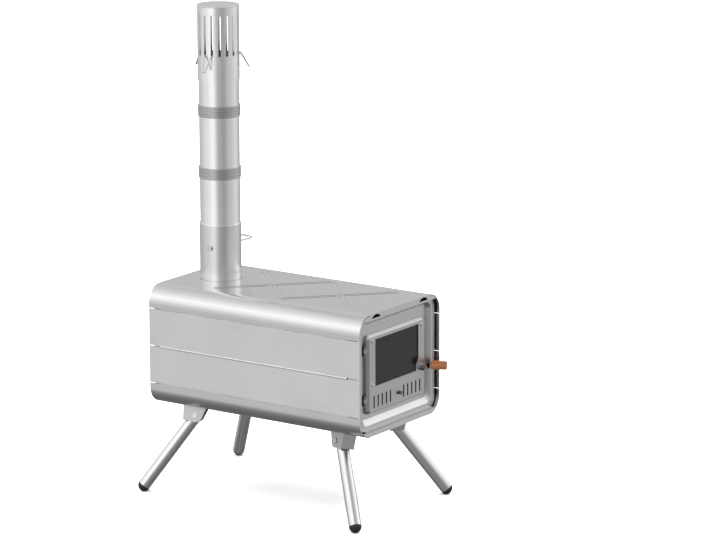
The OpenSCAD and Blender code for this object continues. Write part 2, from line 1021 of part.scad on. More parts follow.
module tube(out, in, h) {
    difference() {
        cylinder(r = out, h = h);
        translate([0, 0, -cut])
            cylinder(r = in, h = h + 2 * cut);
    }
}

module flue_collar() {
    color(dull_steel)
        on_flue(0)
            rotate_extrude()
                polygon([[pipe_r + run, z_top - sheet_t], [collar_flange_r, z_top - sheet_t],
                    [collar_flange_r, z_top - sheet_t - collar_t], [collar_r, z_top - sheet_t - collar_t],
                    [collar_r, base_low - collar_t], [pipe_r - ledge_w, base_low - collar_t],
                    [pipe_r - ledge_w, base_low], [pipe_r + run, base_low]]);
}

module base_pipe() {
    color(steel)
        difference() {
            union() {
                on_flue(base_low)
                    tube(pipe_r, base_in, base_high - base_low);
                on_flue(base_high - rim_h)
                    tube(pipe_r + rim_r, base_in, rim_h);
                on_flue(flue_low - stop_ring_h)
                    tube(pipe_r, base_in - stop_ring_w, stop_ring_h);
            }
            on_flue(damper_z)
                rotate([0, 0, damper_turn])
                    rod_x(damper_spindle_r + run, 2 * pipe_r + 2 * cut);
        }
}

// The damper stands open at rest, in line with the flue
module at_damper() {
    on_flue(damper_z)
        rotate([0, 0, damper_turn])
            children();
}

module damper_disc() {
    color(dull_steel)
        at_damper()
            difference() {
                union() {
                    rod_y(damper_r, damper_t);
                    rod_x(damper_spindle_r + damper_t, 2 * damper_hole_at_share * damper_r);
                }
                rod_x(damper_spindle_r, 2 * pipe_r);
                for (s = [-1, 1])
                    translate([0, 0, s * damper_hole_at_share * damper_r])
                        rod_y(damper_hole_r, damper_t + cut);
            }
}

module wire(from, to, r) {
    d = to - from;
    l = norm(d);
    translate(from)
        rotate([0, acos(d[2] / l), atan2(d[1], d[0])])
            cylinder(r = r, h = l);
}

// The spindle passes through the pipe and ends in a flat wire loop
module damper_spindle() {
    start = -(pipe_r + damper_nut_gap + damper_nut_h);
    stem = pipe_r + handle_stem;
    half = handle_w / 2;
    color("gainsboro")
        at_damper() {
            translate([start, 0, 0])
                rotate([0, 90, 0])
                    cylinder(r = damper_spindle_r, h = stem - start);
            translate([stem, 0, 0])
                rotate([handle_roll, handle_droop, 0]) {
                    rod_between([0, -half, 0], [0, half, 0], handle_wire_r);
                    for (s = [-1, 1])
                        wire([0, s * half, 0], [handle_l - half, s * half, 0], handle_wire_r);
                    translate([handle_l - half, 0, 0])
                        rotate([0, 0, -90])
                            rotate_extrude(angle = 180)
                                translate([half, 0])
                                    circle(handle_wire_r);
                }
        }
}

// A straight wire with round ends
module rod_between(from, to, r) {
    wire(from, to, r);
    for (p = [from, to])
        translate(p)
            sphere(r + run);
}

module damper_nut() {
    color("gainsboro")
        at_damper()
            translate([-(pipe_r + damper_nut_gap + damper_nut_h), 0, 0])
                rotate([0, 90, 0])
                    difference() {
                        cylinder(r = damper_nut_r, h = damper_nut_h, $fn = 6);
                        translate([0, 0, -cut])
                            cylinder(r = damper_spindle_r, h = damper_nut_h + 2 * cut);
                    }
}

module flue_pipe() {
    color(steel)
        on_flue(flue_low)
            tube(flue_r, flue_in, flue_high - flue_low);
}

// A band round the flue with fine pressed ribs
module flue_band(low) {
    color(dull_steel)
        on_flue(low) {
            tube(flue_r + band_t - band_rib_r, flue_r, band_h);
            for (i = [0 : band_ribs - 1])
                translate([0, 0, (i + 0.5) * band_h / band_ribs])
                    difference() {
                        rotate_extrude()
                            translate([flue_r + band_t - band_rib_r, 0])
                                circle(band_rib_r);
                        cylinder(r = flue_r + band_rib_r / 2, h = band_h, center = true);
                    }
        }
}

module lower_flue_band() {
    flue_band(base_high + band_foot);
}

module upper_flue_band() {
    flue_band(arrestor_low - band_head);
}

module spark_arrestor() {
    color(steel)
        difference() {
            union() {
                on_flue(arrestor_low)
                    tube(arrestor_r, arrestor_in, arrestor_h - cap_t);
                on_flue(flue_high)
                    tube(arrestor_r, arrestor_in - stop_ring_w, stop_ring_h);
            }
            for (i = [0 : spark_slots - 1])
                on_flue(spark_low + spark_h / 2)
                    rotate([0, 0, spark_first + i * 360 / spark_slots])
                        translate([arrestor_r - cut, 0, 0])
                            rotate([90, 0, 90])
                                linear_extrude(height = 2 * cut)
                                    slot(spark_w, spark_h);
        }
}

module arrestor_cap() {
    r = arrestor_r + cap_lip;
    color(steel)
        on_flue(arrestor_high - cap_t)
            rotate_extrude()
                polygon([[0, 0], [r - cap_lip / 2, 0], [r, cap_lip / 2], [r, cap_t - cap_lip / 2],
                    [r - cap_lip / 2, cap_t], [0, cap_t]]);
}

// Puts a piece at each guy loop, with X away from the flue, between a slot and the next one
module at_loops() {
    for (i = loop_slots)
        on_flue(spark_low + loop_wire_r + loop_seat)
            rotate([0, 0, spark_first + (i + 0.5) * 360 / spark_slots])
                children();
}

// Stiff wire loops hooked through the feet of two slots, for guy lines
module guy_loops() {
    inner = arrestor_in - loop_inner;
    root = arrestor_r + loop_stub;
    reach = root + loop_l * cos(loop_drop);
    drop = loop_l * sin(loop_drop);
    tip = loop_tip_w / 2;
    color("gainsboro")
        at_loops() {
            for (s = [-1, 1]) {
                y = s * loop_half;
                wire([inner, y, 0], [root, y, 0], loop_wire_r);
                rod_between([inner, y, 0], [inner, y + s * loop_foot, 0], loop_wire_r);
                rod_between([root, y, 0], [reach, s * tip, -drop], loop_wire_r);
            }
            wire([reach, -tip, -drop], [reach, tip, -drop], loop_wire_r);
        }
}

// Puts a piece in the frame of one leg: the pivot is the origin and X runs along its pin
module at_leg(left, front) {
    mirror([left, 0, 0])
        mirror([0, front, 0])
            translate([leg_x, leg_y, pivot_z])
                rotate([0, 0, -leg_yaw])
                    rotate([0, -leg_tilt, 0])
                        children();
}

// One cheek of a bracket, drawn in Y and Z: round at the pivot, wide where it meets the shell
module bracket_cheek() {
    rotate([90, 0, 90])
        linear_extrude(height = bracket_t) {
            circle(bracket_eye_r);
            polygon([[0, 0], eye_edge(-bracket_reach, bracket_shoulder, 1),
                [-bracket_reach, bracket_shoulder], [-bracket_reach, 2 * pivot_drop],
                [bracket_reach, 2 * pivot_drop], [bracket_reach, web_low],
                eye_edge(bracket_reach, web_low, -1)]);
        }
}

// Where the line from a corner of the cheek meets its round eye, kept just inside the eye
function eye_edge(y, z, side) =
    let (turn = atan2(z, y) + side * acos(bracket_eye_r / norm([y, z])))
    eye_share * bracket_eye_r * [cos(turn), sin(turn)];

module bracket(left, front) {
    color(steel)
        difference() {
            intersection() {
                union() {
                    at_leg(left, front)
                        difference() {
                            union() {
                                for (x = [bracket_in, -bracket_out])
                                    translate([x, 0, 0])
                                        bracket_cheek();
                                translate([-bracket_out, bracket_reach - bracket_t, web_low])
                                    cube([2 * bracket_out, bracket_t, 2 * pivot_drop]);
                            }
                            rod_x(pivot_r, 2 * bracket_out + cut);
                        }
                    bracket_base(left, front);
                }
                translate([-half_w, -half_l, 0])
                    cube([body_w, body_l, z_low]);
            }
            at_rivets()
                translate([0, 0, z_low - bracket_t - cut])
                    cylinder(r = rivet_r, h = bracket_t + 2 * cut);
        }
}

module bracket_base(left, front) {
    inner = rivet_x + rivet_edge;
    outer = bracket_out - lean - base_inset;
    mirror([left, 0, 0])
        mirror([0, front, 0])
            translate([leg_x, leg_y, z_low - bracket_t])
                rotate([0, 0, -leg_yaw])
                    translate([-inner, -bracket_reach - base_inset, 0])
                        cube([inner + outer, 2 * bracket_reach, bracket_t]);
}

module bracket_rivets() {
    color("gainsboro")
        at_rivets()
            translate([0, 0, z_low - bracket_t]) {
                translate([0, 0, -rivet_head_h])
                    cylinder(r = rivet_head_r, h = rivet_head_h);
                cylinder(r = rivet_r, h = bracket_t + sheet_t);
                translate([0, 0, bracket_t + sheet_t])
                    cylinder(r = rivet_head_r, h = rivet_head_h);
            }
}

module pivot_pin(left, front) {
    color("gainsboro")
        at_leg(left, front) {
            rod_x(pivot_r, 2 * bracket_out);
            for (s = [0, 1])
                mirror([s, 0, 0])
                    translate([bracket_out, 0, 0])
                        rotate([0, 90, 0])
                            cylinder(r = pivot_head_r, h = pivot_head_h);
        }
}

module leg_tube(left, front) {
    color(steel)
        at_leg(left, front)
            difference() {
                rotate([180 + leg_swing, 0, 0])
                    translate([0, 0, -leg_end])
                        tube(leg_r, leg_r - leg_t, leg_end + leg_l);
                rod_x(pivot_r + run, 2 * bracket_out);
            }
}

// A rubber foot: half a ball on a plug that fills the end of the tube
module leg_foot(left, front) {
    color("black")
        at_leg(left, front)
            rotate([180 + leg_swing, 0, 0])
                translate([0, 0, leg_l]) {
                    rotate_extrude()
                        intersection() {
                            circle(leg_r);
                            square(2 * leg_r);
                        }
                    translate([0, 0, -foot_plug_l])
                        cylinder(r = leg_r - leg_t, h = foot_plug_l);
                }
}

module placed() {
    translate([0, frame_y, 0])
        children();
}

placed() bottom_shell();
placed() top_shell();
placed() mirror([1, 0, 0]) lower_panel();  // left_lower_panel
placed() mirror([1, 0, 0]) upper_panel();  // left_upper_panel
placed() lower_panel();  // right_lower_panel
placed() upper_panel();  // right_upper_panel
placed() hinge_rod(-inner_pivot_x, z_hinge_low);  // left_lower_rod
placed() hinge_rod(-middle_pivot_x, z_hinge_mid);  // left_middle_rod
placed() hinge_rod(-inner_pivot_x, z_hinge_up);  // left_upper_rod
placed() hinge_rod(inner_pivot_x, z_hinge_low);  // right_lower_rod
placed() hinge_rod(middle_pivot_x, z_hinge_mid);  // right_middle_rod
placed() hinge_rod(inner_pivot_x, z_hinge_up);  // right_upper_rod
placed() lower_plate_stops();
placed() upper_plate_stops();
placed() front_plate();
placed() rear_plate();
placed() door_hinge_brackets();
placed() door_hinge_pins();
placed() door_pan();
placed() door_glass();
placed() glass_retainer();
placed() glass_screws();
placed() latch_tongue();
placed() latch_lever();
placed() latch_nut();
placed() latch_grip();
placed() grip_pin();
placed() slider_rails();
placed() air_slider();
placed() slider_knob();
placed() fire_grate();
placed() flue_collar();
placed() base_pipe();
placed() damper_disc();
placed() damper_spindle();
placed() damper_nut();
placed() flue_pipe();
placed() lower_flue_band();
placed() upper_flue_band();
placed() spark_arrestor();
placed() arrestor_cap();
placed() guy_loops();
placed() bracket_rivets();
placed() bracket(1, 1);  // front_left_bracket
placed() pivot_pin(1, 1);  // front_left_pivot
placed() leg_tube(1, 1);  // front_left_leg
placed() leg_foot(1, 1);  // front_left_foot
placed() bracket(0, 1);  // front_right_bracket
placed() pivot_pin(0, 1);  // front_right_pivot
placed() leg_tube(0, 1);  // front_right_leg
placed() leg_foot(0, 1);  // front_right_foot
placed() bracket(1, 0);  // rear_left_bracket
placed() pivot_pin(1, 0);  // rear_left_pivot
placed() leg_tube(1, 0);  // rear_left_leg
placed() leg_foot(1, 0);  // rear_left_foot
placed() bracket(0, 0);  // rear_right_bracket
placed() pivot_pin(0, 0);  // rear_right_pivot
placed() leg_tube(0, 0);  // rear_right_leg
placed() leg_foot(0, 0);  // rear_right_foot
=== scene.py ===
# %% [markdown]
# # A folding tent stove in brushed steel
#
# This lesson dresses a finished CAD model of a small wood stove for tents. The sheet-metal shapes,
# the hinges and the flue all come from the CAD model, and nothing here moves or resizes them. What
# is left to do is what a photographer and a finisher would do: give every sheet its brushing and
# its polish, add the small marks of making, light the object and place the camera.

# %% Load the frame
import math

import bmesh
import bpy
from mathutils import Matrix, Vector


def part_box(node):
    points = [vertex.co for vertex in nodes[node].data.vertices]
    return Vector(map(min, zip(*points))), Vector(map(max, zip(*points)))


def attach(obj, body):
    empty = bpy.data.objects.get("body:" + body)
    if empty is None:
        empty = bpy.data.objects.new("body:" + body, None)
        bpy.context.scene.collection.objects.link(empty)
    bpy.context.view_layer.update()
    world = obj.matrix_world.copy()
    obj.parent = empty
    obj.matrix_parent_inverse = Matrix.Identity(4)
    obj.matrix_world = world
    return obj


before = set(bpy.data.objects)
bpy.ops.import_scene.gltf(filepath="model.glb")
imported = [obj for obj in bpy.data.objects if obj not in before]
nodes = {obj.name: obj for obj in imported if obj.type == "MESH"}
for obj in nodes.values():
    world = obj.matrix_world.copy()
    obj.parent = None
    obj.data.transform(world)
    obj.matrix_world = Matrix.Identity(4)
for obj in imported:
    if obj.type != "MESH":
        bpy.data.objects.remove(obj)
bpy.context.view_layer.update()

# %% [markdown]
# ## The camera
#
# The photograph was taken from far away with a long lens, so edges that are parallel on the stove
# stay nearly parallel in the picture. The camera stands on a sphere round a target on the stove's
# middle axis, and a small lens shift moves the stove to the left half of the frame.

# %% Place the camera
MM = 0.001
PHOTO_W = 716
PHOTO_H = 540
SENSOR = 36.0
AZIMUTH = math.radians(-54.56)
ELEVATION = math.radians(13.02)
ROLL = math.radians(-0.39)
DISTANCE = 5438.58 * MM
FOCAL_PX = 3833.57
CENTRE_PX = (293.48, 273.24)
FAR_CLIP = 100
BOX_Y = 5.7 * MM
TARGET = Vector((0.0, BOX_Y, 323.35 * MM))

back = Vector((
    math.sin(AZIMUTH) * math.cos(ELEVATION),
    -math.cos(AZIMUTH) * math.cos(ELEVATION),
    math.sin(ELEVATION),
))
right = (-back).cross(Vector((0, 0, 1))).normalized()
up = right.cross(-back)
turned_right = right * math.cos(ROLL) + up * math.sin(ROLL)
turned_up = -right * math.sin(ROLL) + up * math.cos(ROLL)

camera = bpy.data.objects.new("camera", bpy.data.cameras.new("camera"))
bpy.context.scene.collection.objects.link(camera)
camera.matrix_world = Matrix.Translation(TARGET + back * DISTANCE) @ Matrix((
    turned_right, turned_up, back)).transposed().to_4x4()
camera.data.sensor_width = SENSOR
camera.data.lens = FOCAL_PX / PHOTO_W * SENSOR
camera.data.shift_x = (PHOTO_W / 2 - CENTRE_PX[0]) / PHOTO_W
camera.data.shift_y = (CENTRE_PX[1] - PHOTO_H / 2) / PHOTO_W
camera.data.clip_end = FAR_CLIP
bpy.context.scene.camera = camera
print("lens", round(camera.data.lens, 1), "mm, shift", round(camera.data.shift_x, 3))

# %% [markdown]
# ## Shader helpers
#
# Every finish is built from the same few steps: read the piece's own coordinates, stretch them
# into fine streaks, and let the streaks move the roughness, the tone and a very small bump. Each
# helper below is one of those steps.

# %% Helpers for materials
def new_material(name):
    """An empty node material with a Principled shader, and the object's own coordinates."""
    material = bpy.data.materials.new(name)
    material.use_nodes = True
    tree = material.node_tree
    shader = tree.nodes["Principled BSDF"]
    coords = tree.nodes.new("ShaderNodeTexCoord")
    return material, tree, shader, coords.outputs["Object"]


def noise(tree, coords, scale, detail=3.0, roughness=0.5):
    """Noise on coordinates stretched by scale, one number for each axis."""
    mapping = tree.nodes.new("ShaderNodeMapping")
    mapping.inputs["Scale"].default_value = scale
    tree.links.new(coords, mapping.inputs["Vector"])
    texture = tree.nodes.new("ShaderNodeTexNoise")
    texture.inputs["Scale"].default_value = 1.0
    texture.inputs["Detail"].default_value = detail
    texture.inputs["Roughness"].default_value = roughness
    tree.links.new(mapping.outputs["Vector"], texture.inputs["Vector"])
    return texture.outputs["Fac"]


def spread(tree, value, low, high, from_low=0.3, from_high=0.7):
    """Maps a noise value to a range."""
    node = tree.nodes.new("ShaderNodeMapRange")
    node.inputs["From Min"].default_value = from_low
    node.inputs["From Max"].default_value = from_high
    node.inputs["To Min"].default_value = low
    node.inputs["To Max"].default_value = high
    tree.links.new(value, node.inputs["Value"])
    return node.outputs["Result"]


def blend_colours(tree, value, dark, light):
    """A colour between dark and light, by value."""
    node = tree.nodes.new("ShaderNodeMix")
    node.data_type = "RGBA"
    node.inputs["A"].default_value = (*dark, 1)
    node.inputs["B"].default_value = (*light, 1)
    tree.links.new(value, node.inputs["Factor"])
    return node.outputs["Result"]


def bump(tree, shader, height, distance):
    """A bump of that real height, in metres, on the shader's normal."""
    node = tree.nodes.new("ShaderNodeBump")
    node.inputs["Distance"].default_value = distance
    node.inputs["Strength"].default_value = 1.0
    tree.links.new(height, node.inputs["Height"])
    tree.links.new(node.outputs["Normal"], shader.inputs["Normal"])


def total(tree, first, second):
    """The sum of two values."""
    node = tree.nodes.new("ShaderNodeMath")
    node.operation = "ADD"
    tree.links.new(first, node.inputs[0])
    tree.links.new(second, node.inputs[1])
    return node.outputs["Value"]


# %% [markdown]
# ## Brushed stainless steel
#
# Stainless sheet leaves the mill with a fine one-way brushing. Up close it is thousands of hair
# lines; from a step away it blurs reflections along one direction. A photographed texture could
# show the lines, but it would stretch on every bend, so the streaks here are noise, stretched
# about a hundred times along the brushing on the large sheets. A second, slow noise gives the faint
# clouds that hands and pressing leave. Roughness, tone and bump all follow the same hair.

# %% Brushed steel
HAIR_DEPTH = 1.2e-6
FINE_HAIR_DEPTH = 3e-7
CLOUD_SCALE = (9, 9, 9)
CLOUD_PLAY = 0.03


def brushed_steel(name, grain, tone, roughness, depth=HAIR_DEPTH, play=0.05):
    """Steel with hair lines; grain holds the noise scale along each axis, small along the lines."""
    material, tree, shader, coords = new_material(name)
    hair = noise(tree, coords, grain, detail=4.0, roughness=0.65)
    clouds = noise(tree, coords, CLOUD_SCALE, detail=2.0)
    worn = total(tree, spread(tree, hair, -0.5, 0.5), spread(tree, clouds, -0.5, 0.5))
    dark = (tone * (1 - play), tone * (1 - play), tone * (0.995 - play))
    light = (tone * (1 + play), tone * (1 + play), tone * (1 + play))
    tree.links.new(blend_colours(tree, spread(tree, worn, 0, 1, -0.7, 0.7), dark, light),
                   shader.inputs["Base Color"])
    rough = total(tree, spread(tree, hair, roughness - play / 2, roughness + play / 2),
                  spread(tree, clouds, -CLOUD_PLAY, CLOUD_PLAY))
    tree.links.new(rough, shader.inputs["Roughness"])
    shader.inputs["Metallic"].default_value = 1.0
    bump(tree, shader, hair, depth)
    return material


# %% [markdown]
# ## The steels of the stove
#
# Each sheet is brushed in its own direction: along the box, across the end plates, round the flue,
# down the legs. Small stamped parts are tumbled in a drum, which leaves no direction. The tones and
# the polish were set by comparing renders with the photograph; the flue's tone also holds painted
# sheen, raised where the surroundings give it too little light.

# %% The steels of the stove
ALONG_BOX = (900, 6, 900)
ACROSS_PLATE = (6, 6, 900)
ROUND_FLUE = (20, 20, 1400)
DOWN_LEG = (300, 300, 20)
ALONG_BRACKET = (300, 20, 300)
TUMBLED = (700, 700, 700)

side_steel = brushed_steel("brushed_side_sheet", ALONG_BOX, tone=0.66, roughness=0.34)
top_steel = brushed_steel("brushed_shell_sheet", ALONG_BOX, tone=0.60, roughness=0.23, play=0.03)
end_steel = brushed_steel("brushed_end_plate", ACROSS_PLATE, tone=0.54, roughness=0.34)
door_steel = brushed_steel("brushed_door_sheet", ACROSS_PLATE, tone=0.47, roughness=0.33)
# The flue's tone is raised above plain steel as painted sheen, standing in for light the
# surroundings don't give.
flue_steel_with_painted_sheen = brushed_steel("brushed_flue_tube_with_painted_sheen", ROUND_FLUE, tone=0.92, roughness=0.20,
                           depth=FINE_HAIR_DEPTH, play=0.02)
collar_steel = brushed_steel("brushed_base_pipe", ROUND_FLUE, tone=0.74, roughness=0.22,
                             depth=FINE_HAIR_DEPTH, play=0.02)
cap_steel = brushed_steel("brushed_cap", ROUND_FLUE, tone=0.70, roughness=0.26, play=0.02)
band_steel = brushed_steel("ribbed_band_steel", ROUND_FLUE, tone=0.46, roughness=0.30)
leg_steel = brushed_steel("brushed_leg_tube", DOWN_LEG, tone=0.58, roughness=0.22, play=0.03)
bracket_steel = brushed_steel("pressed_brackets", ALONG_BRACKET, tone=0.45, roughness=0.34)
small_steel = brushed_steel("stamped_small_parts", TUMBLED, tone=0.55, roughness=0.30)
latch_steel = brushed_steel("pressed_latch_parts", TUMBLED, tone=0.28, roughness=0.30)
dark_steel = brushed_steel("dark_small_parts", TUMBLED, tone=0.22, roughness=0.45)
print("steels:", [m.name for m in bpy.data.materials])

# %% [markdown]
# ## Dressing the CAD pieces
#
# A CAD piece keeps its mesh and only gets a finish in its material slot. One steel for everything
# would look like a casting, so there are thirteen, which differ in tone and polish. The flue is
# the brightest, partly from its own polish and partly as painted sheen: its tone is raised to stand
# in for light that the surroundings don't give it. The end plates and the door are darker, and the
# latch and the knob are dark.

# %% Hand the finishes to the CAD nodes
QUARTERS = ["front_left", "front_right", "rear_left", "rear_right"]


def dress(material, *names):
    """Puts one material on CAD nodes."""
    for name in names:
        mesh = nodes[name].data
        mesh.materials.clear()
        mesh.materials.append(material)


dress(side_steel, "left_lower_panel", "left_upper_panel", "right_lower_panel", "right_upper_panel")
dress(top_steel, "bottom_shell", "top_shell")
dress(end_steel, "front_plate", "rear_plate", "lower_plate_stops", "upper_plate_stops")
dress(door_steel, "door_pan", "glass_retainer", "air_slider", "slider_rails")
dress(flue_steel_with_painted_sheen, "flue_pipe", "spark_arrestor")
dress(collar_steel, "flue_collar", "base_pipe")
dress(cap_steel, "arrestor_cap")
dress(band_steel, "lower_flue_band", "upper_flue_band")
dress(leg_steel, *[q + "_leg" for q in QUARTERS])
dress(bracket_steel, *[q + "_bracket" for q in QUARTERS])
dress(latch_steel, "latch_tongue", "latch_lever", "latch_nut", "grip_pin", "bracket_rivets")
dress(small_steel, "glass_screws", "damper_spindle", "damper_nut", "guy_loops", "damper_disc",
      "left_lower_rod", "left_middle_rod", "left_upper_rod", "right_lower_rod",
      "right_middle_rod", "right_upper_rod", *[q + "_pivot" for q in QUARTERS])
dress(dark_steel, "slider_knob", "door_hinge_brackets", "door_hinge_pins", "fire_grate")
print("dressed in steel:", sum(1 for node in nodes.values() if node.data.materials), "nodes")

# %% [markdown]
# ## Fire glass
#
# The window is dark ceramic glass. Black paint would hide the fire box, so it is real glass with a
# deep tint: light is weakened on its way in and again on its way out, and little comes back. A
# faint smear in its roughness keeps the reflections from being perfect.

# %% Fire glass
GLASS_TINT = (0.16, 0.16, 0.17, 1)
GLASS_IOR = 1.38
SMEAR_SCALE = (30, 30, 30)

glass, tree, shader, coords = new_material("dark_fire_glass")
shader.inputs["Base Color"].default_value = GLASS_TINT
shader.inputs["Transmission Weight"].default_value = 1.0
shader.inputs["IOR"].default_value = GLASS_IOR
smear = noise(tree, coords, SMEAR_SCALE, detail=3.0)
tree.links.new(spread(tree, smear, 0.03, 0.08), shader.inputs["Roughness"])
dress(glass, "door_glass")
print(glass.name, "with an index of refraction of", GLASS_IOR)

# %% [markdown]
# ## Turned wood
#
# The grip of the latch is a turned piece of orange-brown hardwood, oiled, with its grain along its
# length. The grip lies level and points away from the door at an angle, so the coordinates are
# turned first and the noise is then stretched along the grip. A finer noise makes the pores.

# %% Turned wood
GRIP_TURN = math.radians(-66)
GRAIN_SCALE = (25, 420, 420)
PORE_SCALE = (160, 2600, 2600)
PORE_DEPTH = 0.00004
DARK_WOOD = (0.10, 0.030, 0.006)
LIGHT_WOOD = (0.32, 0.10, 0.020)

wood, tree, shader, coords = new_material("oiled_hardwood")
turn = tree.nodes.new("ShaderNodeMapping")
turn.vector_type = "TEXTURE"
turn.inputs["Rotation"].default_value = (0, 0, GRIP_TURN)
tree.links.new(coords, turn.inputs["Vector"])
grain = noise(tree, turn.outputs["Vector"], GRAIN_SCALE, detail=5.0, roughness=0.6)
pores = noise(tree, turn.outputs["Vector"], PORE_SCALE, detail=2.0)
tree.links.new(blend_colours(tree, spread(tree, grain, 0, 1), DARK_WOOD, LIGHT_WOOD),
               shader.inputs["Base Color"])
tree.links.new(spread(tree, pores, 0.38, 0.55), shader.inputs["Roughness"])
bump(tree, shader, pores, PORE_DEPTH)
dress(wood, "latch_grip")
print(wood.name, "turned", round(math.degrees(GRIP_TURN)), "degrees")

# %% [markdown]
# ## Moulded rubber
#
# The feet are matt black rubber. Black rubber still returns a little light, and a moulded part
# has a soft speckle, so one fine noise moves the tone, the roughness and a bump of hundredths of a
# millimetre.

# %% Moulded rubber
SPECKLE_SCALE = (1500, 1500, 1500)
SPECKLE_DEPTH = 0.00003
DARK_RUBBER = (0.002, 0.002, 0.002)
LIGHT_RUBBER = (0.007, 0.007, 0.007)

rubber, tree, shader, coords = new_material("moulded_rubber")
speckle = noise(tree, coords, SPECKLE_SCALE, detail=2.0)
tree.links.new(blend_colours(tree, speckle, DARK_RUBBER, LIGHT_RUBBER),
               shader.inputs["Base Color"])
tree.links.new(spread(tree, speckle, 0.55, 0.8), shader.inputs["Roughness"])
bump(tree, shader, speckle, SPECKLE_DEPTH)
dress(rubber, *[q + "_foot" for q in QUARTERS])
print("undressed:", [name for name, node in nodes.items() if not node.data.materials])

# %% [markdown]
# ## The corners of the lips
#
# Each pressed shell turns up into a lip at its two ends, and on the real stove the lip runs round
# the corner with the shell, with no gap. A lip could be swept round the whole end, but only the
# corners are missing. Each is a slice of a disc: a filled circle, cut twice with a plane, then
# given the thickness of the sheet. One helper makes the four corners of a shell.

# %% A helper for new pieces
def piece(name, mesh, material, body):
    """Turns a bmesh into an object that rides on a body."""
    bmesh.ops.recalc_face_normals(mesh, faces=mesh.faces)
    data = bpy.data.meshes.new(name)
    mesh.to_mesh(data)
    mesh.free()
    data.materials.append(material)
    made = bpy.data.objects.new(name, data)
    bpy.context.scene.collection.objects.link(made)
    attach(made, body)
    print(name, len(data.polygons), "faces")


# %% Lip corners
CORNER = 26 * MM
CORNER_STEPS = 96
LIP = 8 * MM
SHEET = 1 * MM
SHELL_HALF_WIDTH = 101 * MM
SHELL_HALF_LENGTH = 182 * MM
CUTS = [((0, LIP - CORNER, 0), (0, 1, 0)), ((0, 0, 0), (-1, 0, 0))]


def lip_corners(name, flat, inward, body):
    """Four lip corners; flat is the height of the shell's flat, inward is 1 for up, -1 for down."""
    mesh = bmesh.new()
    for side in (-1, 1):
        for end in (-1, 1):
            corner = bmesh.new()
            bmesh.ops.create_circle(corner, cap_ends=True, segments=CORNER_STEPS, radius=CORNER)
            for point, normal in CUTS:
                everything = corner.verts[:] + corner.edges[:] + corner.faces[:]
                bmesh.ops.bisect_plane(corner, geom=everything, plane_co=point, plane_no=normal,
                                       clear_outer=True)
            grown = bmesh.ops.extrude_face_region(corner, geom=corner.faces[:])
            moved = [v for v in grown["geom"] if isinstance(v, bmesh.types.BMVert)]
            bmesh.ops.translate(corner, vec=(0, 0, -SHEET), verts=moved)
            stand = Matrix(((side, 0, 0, side * (SHELL_HALF_WIDTH - CORNER)),
                            (0, 0, end, BOX_Y + end * SHELL_HALF_LENGTH),
                            (0, inward, 0, flat + inward * CORNER),
                            (0, 0, 0, 1)))
            bmesh.ops.transform(corner, matrix=stand, verts=corner.verts[:])
            bmesh.ops.recalc_face_normals(corner, faces=corner.faces)
            part = bpy.data.meshes.new("corner")
            corner.to_mesh(part)
            corner.free()
            mesh.from_mesh(part)
            bpy.data.meshes.remove(part)
    piece(name, mesh, top_steel, body)


lip_corners("bottom_lip_corners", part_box("bottom_shell")[0].z, 1, "base")
lip_corners("top_lip_corners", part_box("top_shell")[1].z, -1, "top")

# %% [markdown]
# ## The lap seam of the flue
#
# The long flue is a sheet rolled up into a tube, and its free edge lies over itself as a thin lap
# at the back. Bump can't show an edge in outline, so the lap is a thin sheet of its own: an upright
# edge, spun a little way round the flue's axis, with a wall of a quarter of a millimetre. It stops
# short of the bands, which grip the bare tube.

# %% Flue seam
SEAM_WIDTH = 9 * MM
SEAM_STEPS = 8
SEAM_WALL = 0.25 * MM
SEAM_BEARING = math.radians(35)
SEAM_END = 0.6 * MM

flue_low, flue_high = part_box("flue_pipe")
flue_axis = Vector((0, (flue_low.y + flue_high.y) / 2, 0))
flue_radius = (flue_high.x - flue_low.x) / 2
stretches = [(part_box("base_pipe")[1].z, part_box("lower_flue_band")[0].z),
             (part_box("lower_flue_band")[1].z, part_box("upper_flue_band")[0].z),
             (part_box("upper_flue_band")[1].z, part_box("spark_arrestor")[0].z)]
seam = bmesh.new()
for low, high in stretches:
    out = Vector((flue_radius + SEAM_WALL, 0, 0))
    edge_start = Matrix.Rotation(SEAM_BEARING, 4, "Z") @ out + flue_axis
    foot = seam.verts.new((*edge_start.xy, low + SEAM_END))
    head = seam.verts.new((*edge_start.xy, high - SEAM_END))
    edge = seam.edges.new((foot, head))
    bmesh.ops.spin(seam, geom=[foot, head, edge], cent=flue_axis, axis=(0, 0, 1),
                   angle=SEAM_WIDTH / flue_radius, steps=SEAM_STEPS)
bmesh.ops.recalc_face_normals(seam, faces=seam.faces)
bmesh.ops.solidify(seam, geom=seam.faces[:], thickness=SEAM_WALL)
reach = [(v.co.xy - flue_axis.xy).length * 1000 for v in seam.verts]
print("seam from", round(min(reach), 2), "to", round(max(reach), 2), "mm round the axis")
piece("flue_lap_seam", seam, flue_steel_with_painted_sheen, "flue")

# %% [markdown]
# ## The studio
#
# Bare steel shows little but its surroundings, so the surroundings are drawn with care. A ring of
# lamps could do it, but every lamp's edge would show in the sheets, so the brightness is drawn
# smoothly instead, as the product of two curves. One runs from straight down to straight up: dark
# below, brightest about a third of the way up. The other runs round the compass: brightest on the
# stove's left, darkest beside the camera.

# %% Curves for the surroundings
def ramp(tree, value, stops):
    """A smooth curve through (place, brightness) pairs."""
    node = tree.nodes.new("ShaderNodeValToRGB")
    node.color_ramp.interpolation = "EASE"
    elements = node.color_ramp.elements
    while len(elements) < len(stops):
        elements.new(0.5)
    for element, (place, level) in zip(elements, stops):
        element.position = place
        element.color = (level, level, level, 1)
    tree.links.new(value, node.inputs["Fac"])
    return node.outputs["Color"]


def height_stops(pairs):
    """Elevations in degrees become places from 0, straight down, to 1, straight up."""
    return [((math.sin(math.radians(degrees)) + 1) / 2, level) for degrees, level in pairs]


def compass_stops(pairs):
    """Bearings in degrees, counted from +X through +Y, become places from 0 to 1."""
    return [(degrees / 360, level) for degrees, level in pairs]


